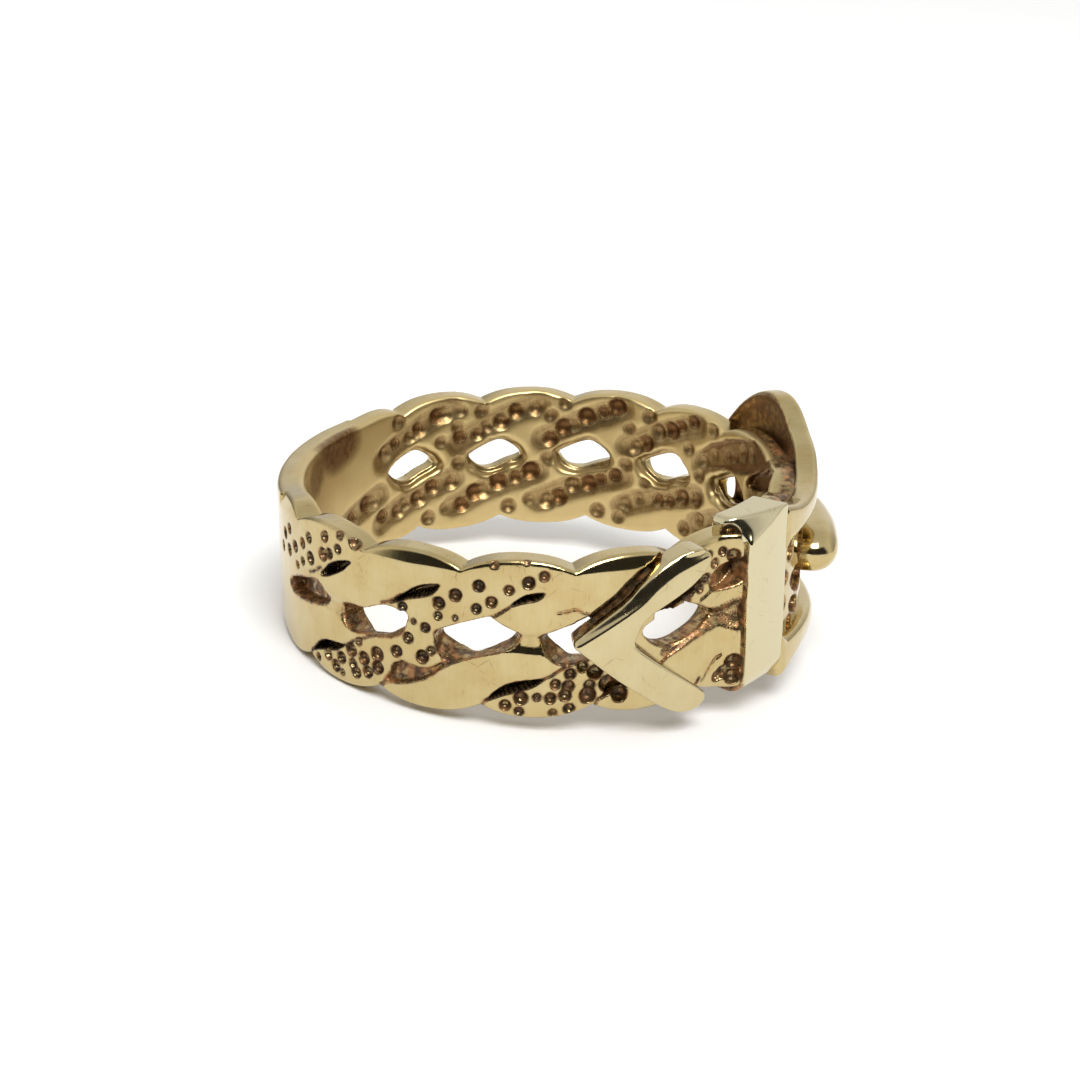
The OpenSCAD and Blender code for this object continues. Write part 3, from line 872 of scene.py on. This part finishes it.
def cell_quads(inside, number, axis):
    """A quad for each grid line along an axis that the surface crosses, and the line's slice."""
    count_a = len(number)
    crossed = inside[:count_a] != np.roll(inside, -1, axis=axis)[:count_a]
    lines = np.argwhere(crossed)
    others = [d for d in range(3) if d != axis]
    keep = np.ones(len(lines), bool)
    for d in (1, 2):
        keep &= (lines[:, d] < number.shape[d]) & ((lines[:, d] > 0) | (d == axis))
    lines = lines[keep]
    corners = []
    for back in ((0, 0), (1, 0), (1, 1), (0, 1)):
        cell = lines.copy()
        cell[:, others] -= back
        corners.append(number[cell[:, 0] % count_a, cell[:, 1], cell[:, 2]])
    quad = np.stack(corners, 1)
    flip = inside[tuple(lines.T)] != (axis == 1)
    quad[flip] = quad[flip][:, ::-1]
    return lines[:, 0], quad


def surface(grid):
    """The surface where the field is zero: a vertex in each cell that it crosses, and a quad
    for each grid line that it crosses. The grid's first axis closes on itself."""
    count_a, count_z, count_r = grid.shape
    inside = np.concatenate([grid.field, grid.field[:1]]) < 0
    filled = sum(
        inside[i:count_a + i, j:count_z - 1 + j, k:count_r - 1 + k].astype(np.int8)
        for i, j, k in CORNERS
    )
    cells = np.argwhere((filled > 0) & (filled < 8))
    number = np.full(filled.shape, -1, np.int32)
    number[tuple(cells.T)] = np.arange(len(cells))
    layer, quad = zip(*(cell_quads(inside, number, axis) for axis in range(3)))
    return cells, cell_points(grid.field, cells), np.concatenate(layer), np.concatenate(quad)


MOUNT = next(m for m in frame["record"]["mounts"] if m["name"] == "finger_bore")
CENTRE = np.array(MOUNT["pos_m"])
TURN = np.array(Vector((0, 0, 1)).rotation_difference(Vector(MOUNT["axis"])).to_matrix())


def place(angle, height, radius):
    """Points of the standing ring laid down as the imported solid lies, in metres."""
    turn = np.radians(angle)
    standing = np.stack([-radius * np.sin(turn), -radius * np.cos(turn), height], -1) * MM
    return standing @ TURN.T + CENTRE


def vertex_normals(points, quad):
    """The mean direction of the faces round each point."""
    across = points[quad[:, 2]] - points[quad[:, 0]]
    down = points[quad[:, 3]] - points[quad[:, 1]]
    face = np.cross(across, down)
    normal = np.zeros_like(points)
    for corner in range(4):
        np.add.at(normal, quad[:, corner], face)
    return normal / np.maximum(np.linalg.norm(normal, axis=1, keepdims=True), 1e-30)


def relaxed(points, quad):
    """The points drawn halfway to the middles of their faces, a few times over."""
    corners = quad.ravel()
    count = np.bincount(corners, minlength=len(points))[:, None]
    for _ in range(SMOOTHINGS):
        middle = np.repeat(points[quad].mean(1), 4, axis=0)
        total = np.stack([np.bincount(corners, middle[:, d], len(points)) for d in range(3)], 1)
        points = 0.5 * points + 0.5 * total / count
    return points


def unevenness(wrap, finish):
    """How far each point is pushed out: soft waves, and a fine roughness in the stain and painted
    shade.
    """
    rng = np.random.default_rng(SEED)
    coarse = rough(wrap, 0.42, rng) + 0.4 * rough(wrap, 0.2, rng)
    soft = rough(wrap, 1.3, rng) + 0.4 * rough(wrap, 0.6, rng)
    calm = (1 - 0.6 * finish["soot"]) * (1 - 0.9 * finish["satin"])
    return ROUGHNESS * coarse * finish["stain"] * calm + WAVES * soft


def build(name, grid, cuts=()):
    """Make a grid's surface into one piece, or into several where it is cut by angle."""
    cells, spot, layer, quad = surface(grid)
    angle = grid.a[0, 0, 0] + spot[:, 0] * grid.step_a
    height = grid.z[0, 0, 0] + spot[:, 1] * grid.step
    radius = grid.r[0, 0, 0] + spot[:, 2] * grid.step
    finish = {
        key: np.mean(at_corners(getattr(grid, key), cells), axis=0)
        for key in ("stain", "soot", "satin")
    }
    finish["pale"] = np.full(len(cells), grid.pale)
    wrap = np.stack([angle * DEGREE, height, radius], 1)
    points = relaxed(place(angle, height, radius), quad)
    push = unevenness(wrap, finish) * MM
    points = points + vertex_normals(points, quad) * push[:, None]
    edges = [0, *cuts, grid.shape[0]]
    for number, (start, end) in enumerate(zip(edges, edges[1:])):
        mine = quad[(layer >= start) & (layer < end)]
        used, faces = np.unique(mine, return_inverse=True)
        mesh_piece(
            f"{name}_{number + 1}" if cuts else name,
            points[used], faces.reshape(-1, 4), {k: v[used] for k, v in finish.items()}, wrap[used],
        )


def add_object(name, data):
    """A new object in the scene."""
    made = bpy.data.objects.new(name, data)
    bpy.context.scene.collection.objects.link(made)
    return made


def mesh_piece(name, points, faces, finish, wrap):
    """One mesh object with its finish on it, riding on the ring's body."""
    mesh = bpy.data.meshes.new(name)
    mesh.from_pydata(points.tolist(), [], faces.tolist())
    for key, value in finish.items():
        held = mesh.attributes.new(key, "FLOAT", "POINT")
        held.data.foreach_set("value", value.astype(np.float32))
    held = mesh.attributes.new("wrap", "FLOAT_VECTOR", "POINT")
    held.data.foreach_set("vector", wrap.astype(np.float32).ravel())
    mesh.polygons.foreach_set("use_smooth", np.ones(len(faces), bool))
    close_ends(mesh)
    mesh.materials.append(GOLD)
    piece = add_object(name, mesh)
    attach(piece, BODY)
    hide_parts(NODE)


def close_ends(mesh):
    """Close the open ends that are left where the band is cut into pieces."""
    form = bmesh.new()
    form.from_mesh(mesh)
    open_edges = [edge for edge in form.edges if edge.is_boundary]
    if open_edges:
        for edge in open_edges:
            edge.smooth = False
        caps = bmesh.ops.holes_fill(form, edges=open_edges, sides=0)["faces"]
        bmesh.ops.triangulate(form, faces=caps)
        form.to_mesh(mesh)
    form.free()


# Materials


class Nodes:
    """The nodes of a material or of the room, added one by one."""

    def __init__(self, tree):
        self.tree = tree

    def add(self, kind, inputs=None, **settings):
        """Add a node, set its fields and fill or link its inputs."""
        node = self.tree.nodes.new(kind)
        for key, value in settings.items():
            setattr(node, key, value)
        for key, value in (inputs or {}).items():
            self.feed(node.inputs[key], value)
        return node

    def feed(self, socket, value):
        """Link an output to a socket, or set the socket."""
        if isinstance(value, bpy.types.NodeSocket):
            self.tree.links.new(value, socket)
        else:
            socket.default_value = value

    def attribute(self, name):
        node = self.add("ShaderNodeAttribute", attribute_name=name)
        return node.outputs["Vector"] if name == "wrap" else node.outputs["Fac"]

    def noise(self, vector, scale, detail=3.0):
        node = self.add("ShaderNodeTexNoise", {"Vector": vector, "Scale": scale, "Detail": detail})
        return node.outputs["Fac"]

    def ramp(self, value, low, high, bottom=0.0, top=1.0):
        node = self.add("ShaderNodeMapRange", {0: value, 1: low, 2: high, 3: bottom, 4: top})
        return node.outputs[0]

    def math(self, operation, first, second):
        return self.add("ShaderNodeMath", {0: first, 1: second}, operation=operation).outputs[0]

    def times(self, first, second):
        return self.math("MULTIPLY", first, second)

    def mix(self, share, first, second):
        node = self.add("ShaderNodeMix", data_type="RGBA")
        self.feed(node.inputs["Factor"], share)
        self.feed(node.inputs["A"], first)
        self.feed(node.inputs["B"], second)
        return node.outputs["Result"]


def new_material(name):
    """A material, its nodes and its shader."""
    material = bpy.data.materials.new(name)
    material.use_nodes = True
    return material, Nodes(material.node_tree), material.node_tree.nodes["Principled BSDF"]


WHITE_GOLD = (0.64, 0.57, 0.37, 1)
PALE_GOLD = (0.57, 0.46, 0.235, 1)
WARM_GOLD = (0.53, 0.405, 0.185, 1)
DULL_GOLD = (0.42, 0.31, 0.13, 1)
DEEP_GOLD = (0.66, 0.51, 0.24, 1)
# Copper flecks in the brown: partly bare metal, partly painted coppery glints
COPPER_AND_GLINT = (0.42, 0.20, 0.075, 1)
BROWN = (0.085, 0.042, 0.016, 1)
INNER_BROWN = (0.17, 0.085, 0.030, 1)
# Painted black shade for the slits, pits and grooves
PAINTED_SHADE_BLACK = (0.010, 0.006, 0.003, 1)

# The brushing runs round the ring: its noise's scales along the wrap
BRUSHING = (9.0, 0.8, 1.0)
# The scratches' directions and lengths, and their width
SCRATCHES = ((0.4, 0.9), (1.2, 0.6), (1.75, 0.45), (2.5, 1.1))
SCRATCH_W = 0.055
# The bump, its depth in millimetres
BUMP_STRENGTH = 0.6
BUMP_DEPTH = 0.03


def scratch_lines(n, wrap):
    """Fine scratches that run in a few directions: noise stretched along each, in patches."""
    lines = None
    for turn, length in SCRATCHES:
        spin = {"Vector": wrap, "Rotation": (0, 0, turn), "Scale": (length, SCRATCH_W, 0.5)}
        spun = n.add("ShaderNodeMapping", spin, vector_type="TEXTURE")
        line = n.ramp(n.noise(spun.outputs[0], 1.0, 1.0), 0.70, 0.78)
        lines = line if lines is None else n.math("MAXIMUM", lines, line)
    return n.times(lines, n.ramp(n.noise(wrap, 0.9, 2.0), 0.42, 0.6, 0.15, 1.0))


def gold_colour(n, wrap, streaks, scratches, broken, soot, satin):
    """The gold's tone with what darkens it: scratches, stain, painted brown and black shade, and
    copper flecks that are partly painted glints.
    """
    tone = n.mix(n.ramp(n.noise(wrap, 0.9, 2.0), 0.35, 0.65), PALE_GOLD, WARM_GOLD)
    tone = n.mix(n.times(streaks, 0.14), tone, DULL_GOLD)
    tone = n.mix(n.attribute("pale"), tone, WHITE_GOLD)
    tone = n.mix(n.times(satin, 0.8), tone, DEEP_GOLD)
    tone = n.mix(n.times(scratches, n.ramp(satin, 0, 1, 0.38, 0.06)), tone, BROWN)
    # Brown with copper flecks, which are partly painted glints
    dark = n.mix(n.ramp(n.noise(wrap, 3.0, 2.0), 0.42, 0.64), BROWN, COPPER_AND_GLINT)
    dark = n.mix(satin, dark, INNER_BROWN)
    colour = n.mix(n.ramp(broken, 0.1, 0.85), tone, dark)
    # Painted black shade in the slits, pits and grooves
    return n.mix(n.ramp(soot, 0.25, 0.9), colour, PAINTED_SHADE_BLACK)


def gold_material():
    """Polished pale gold with fine scratches, brown stain and painted shade in its recesses, and
    satin inside.
    """
    material, n, shader = new_material("pale_gold")
    wrap, stain, soot, satin = (n.attribute(name) for name in ("wrap", "stain", "soot", "satin"))
    brushed = n.add("ShaderNodeMapping", {"Vector": wrap, "Scale": BRUSHING})
    streaks = n.ramp(n.noise(brushed.outputs[0], 1.6, 3.0), 0.42, 0.66)
    # The stain and painted brown shade are broken up in patches, but not where the metal is satin
    patchy = n.ramp(n.noise(wrap, 3.2, 4.0), 0.38, 0.56, 0.5, 1.15)
    smooth = n.times(satin, n.ramp(streaks, 0, 1, 0.96, 1.08))
    broken = n.times(stain, n.math("MAXIMUM", patchy, smooth))
    scratches = scratch_lines(n, wrap)
    colour = gold_colour(n, wrap, streaks, scratches, broken, soot, satin)
    n.feed(shader.inputs["Base Color"], colour)
    dull = n.times(n.math("MAXIMUM", broken, soot), n.ramp(satin, 0, 1, 1.0, 0.4))
    n.feed(shader.inputs["Metallic"], n.ramp(dull, 0.3, 1.0, 1.0, 0.45))

    # Uneven polish, rougher along scratches, inside the ring and where stain and painted shade lie
    polish = n.ramp(n.noise(wrap, 1.3, 3.0), 0.3, 0.7, 0.09, 0.17)
    for rougher, share in ((scratches, 0.1), (streaks, 0.03), (satin, 0.25)):
        polish = n.math("ADD", polish, n.times(rougher, share))
    polish = n.math("MAXIMUM", polish, n.ramp(broken, 0.1, 0.8, 0.0, 0.36))
    n.feed(shader.inputs["Roughness"], polish)

    # A grain in the stain and painted shade, and the scratches
    calm = n.times(n.ramp(satin, 0, 1, 1.0, 0.08), n.ramp(soot, 0.2, 0.7, 1.0, 0.15))
    coarse = n.times(n.math("ADD", broken, 0.008), calm)
    height = n.math("ADD", n.times(n.noise(wrap, 6.0, 3.0), coarse), n.times(scratches, -0.025))
    bump = {"Strength": BUMP_STRENGTH, "Distance": BUMP_DEPTH * MM, "Height": height}
    n.feed(shader.inputs["Normal"], n.add("ShaderNodeBump", bump).outputs[0])
    return material


# Stage

FLOOR_TONES = ((0.93, 0.93, 0.93, 1), (0.95, 0.95, 0.95, 1))

# The camera stands level with the ring's own plane, on the side of the strap's tip
CAMERA_A = 90.0
CAMERA_FAR = 86.5
CAMERA_RISE = math.radians(21.8)
LENS = 71.5
SHIFT = (0.0028, -0.0042)

# The lamp's place and size, and its power
LAMP_PLACE = (-600, -120, 900)
LAMP_SIZE = 560
LAMP_POWER = 10.2

WALL = 0.93
CEILING = 0.72
ROOM_TINT = (1.0, 1.0, 0.99, 1)
# Dark openings in the room's walls: [angle round the ring, cosine of their half width, level]
OPENINGS = [(CAMERA_A, 0.35, 0.03), (-130.0, 0.88, 0.25), (-30.0, 0.93, 0.35)]
# How softly their sides end, in that cosine
OPENING_SOFT = 0.12


def floor():
    """A wide pale floor with a faint cloudiness."""
    half = 1.5
    corners = [(-half, -half, 0), (half, -half, 0), (half, half, 0), (-half, half, 0)]
    mesh = bpy.data.meshes.new("floor")
    mesh.from_pydata(corners, [], [(0, 1, 2, 3)])
    piece = add_object("floor", mesh)
    material, n, shader = new_material("pale_floor")
    cloudy = n.noise(n.add("ShaderNodeTexCoord").outputs["Object"], 30.0)
    n.feed(shader.inputs["Base Color"], n.mix(cloudy, *FLOOR_TONES))
    shader.inputs["Roughness"].default_value = 0.6
    mesh.materials.append(material)


def soft_light():
    """A square soft light that looks at the ring."""
    data = bpy.data.lights.new("front_light", "AREA")
    data.shape = "SQUARE"
    data.size = LAMP_SIZE * MM
    data.energy = LAMP_POWER
    light = add_object("front_light", data)
    light.location = Vector(LAMP_PLACE) * MM
    light.rotation_euler = (Vector(CENTRE) - light.location).to_track_quat("-Z", "Y").to_euler()


def room():
    """Bright walls and ceiling, with a dark opening where the photographer stands and two
    dimmer ones."""
    world = bpy.data.worlds.new("room")
    bpy.context.scene.world = world
    world.use_nodes = True
    n = Nodes(world.node_tree)
    way = n.add("ShaderNodeTexCoord").outputs["Generated"]
    up = n.add("ShaderNodeSeparateXYZ", {0: way}).outputs["Z"]
    level = n.ramp(up, 0.45, 0.85, WALL, CEILING)
    high = n.times(n.ramp(up, -0.1, 0.0), n.ramp(up, 0.60, 0.72, 1.0, 0.0))
    for angle, narrow, dark in OPENINGS:
        toward = (place(angle, 0, 1) - CENTRE) / MM
        flat = (float(toward[0]), float(toward[1]), 0.0)
        dot = n.add("ShaderNodeVectorMath", {0: way, 1: flat}, operation="DOT_PRODUCT")
        wide = n.ramp(dot.outputs["Value"], narrow - OPENING_SOFT, narrow + OPENING_SOFT)
        mask = n.times(wide, high)
        lit = n.times(level, n.ramp(mask, 0, 1, 1.0, 0.0))
        level = n.math("ADD", lit, n.times(mask, dark))
    background = world.node_tree.nodes["Background"]
    n.feed(background.inputs["Strength"], level)
    background.inputs["Color"].default_value = ROOM_TINT


def camera():
    """The photograph's view."""
    data = bpy.data.cameras.new("camera")
    data.lens = LENS
    data.shift_x, data.shift_y = SHIFT
    data.clip_start = MM
    view = add_object("camera", data)
    across = CAMERA_FAR * math.cos(CAMERA_RISE)
    rise = CAMERA_FAR * math.sin(CAMERA_RISE)
    up = Vector(TURN @ np.array([0, 0, 1.0]))
    view.location = Vector(place(CAMERA_A, rise, across))
    back = (view.location - Vector(CENTRE)).normalized()
    right = up.cross(back).normalized()
    turn = Matrix((right, back.cross(right), back)).transposed()
    view.rotation_euler = turn.to_euler()
    bpy.context.scene.camera = view


bpy.context.scene.view_settings.view_transform = "Standard"
GOLD = gold_material()
floor()
room()
soft_light()
camera()

band = braided_band()
layers = band.shape[0]
build("braided_band", band, [layers // 4, layers // 2, 3 * layers // 4])
build("strap_tip", strap_tip())
build("keeper", keeper())
build("buckle_frame", buckle_frame())
build("prong", prong())
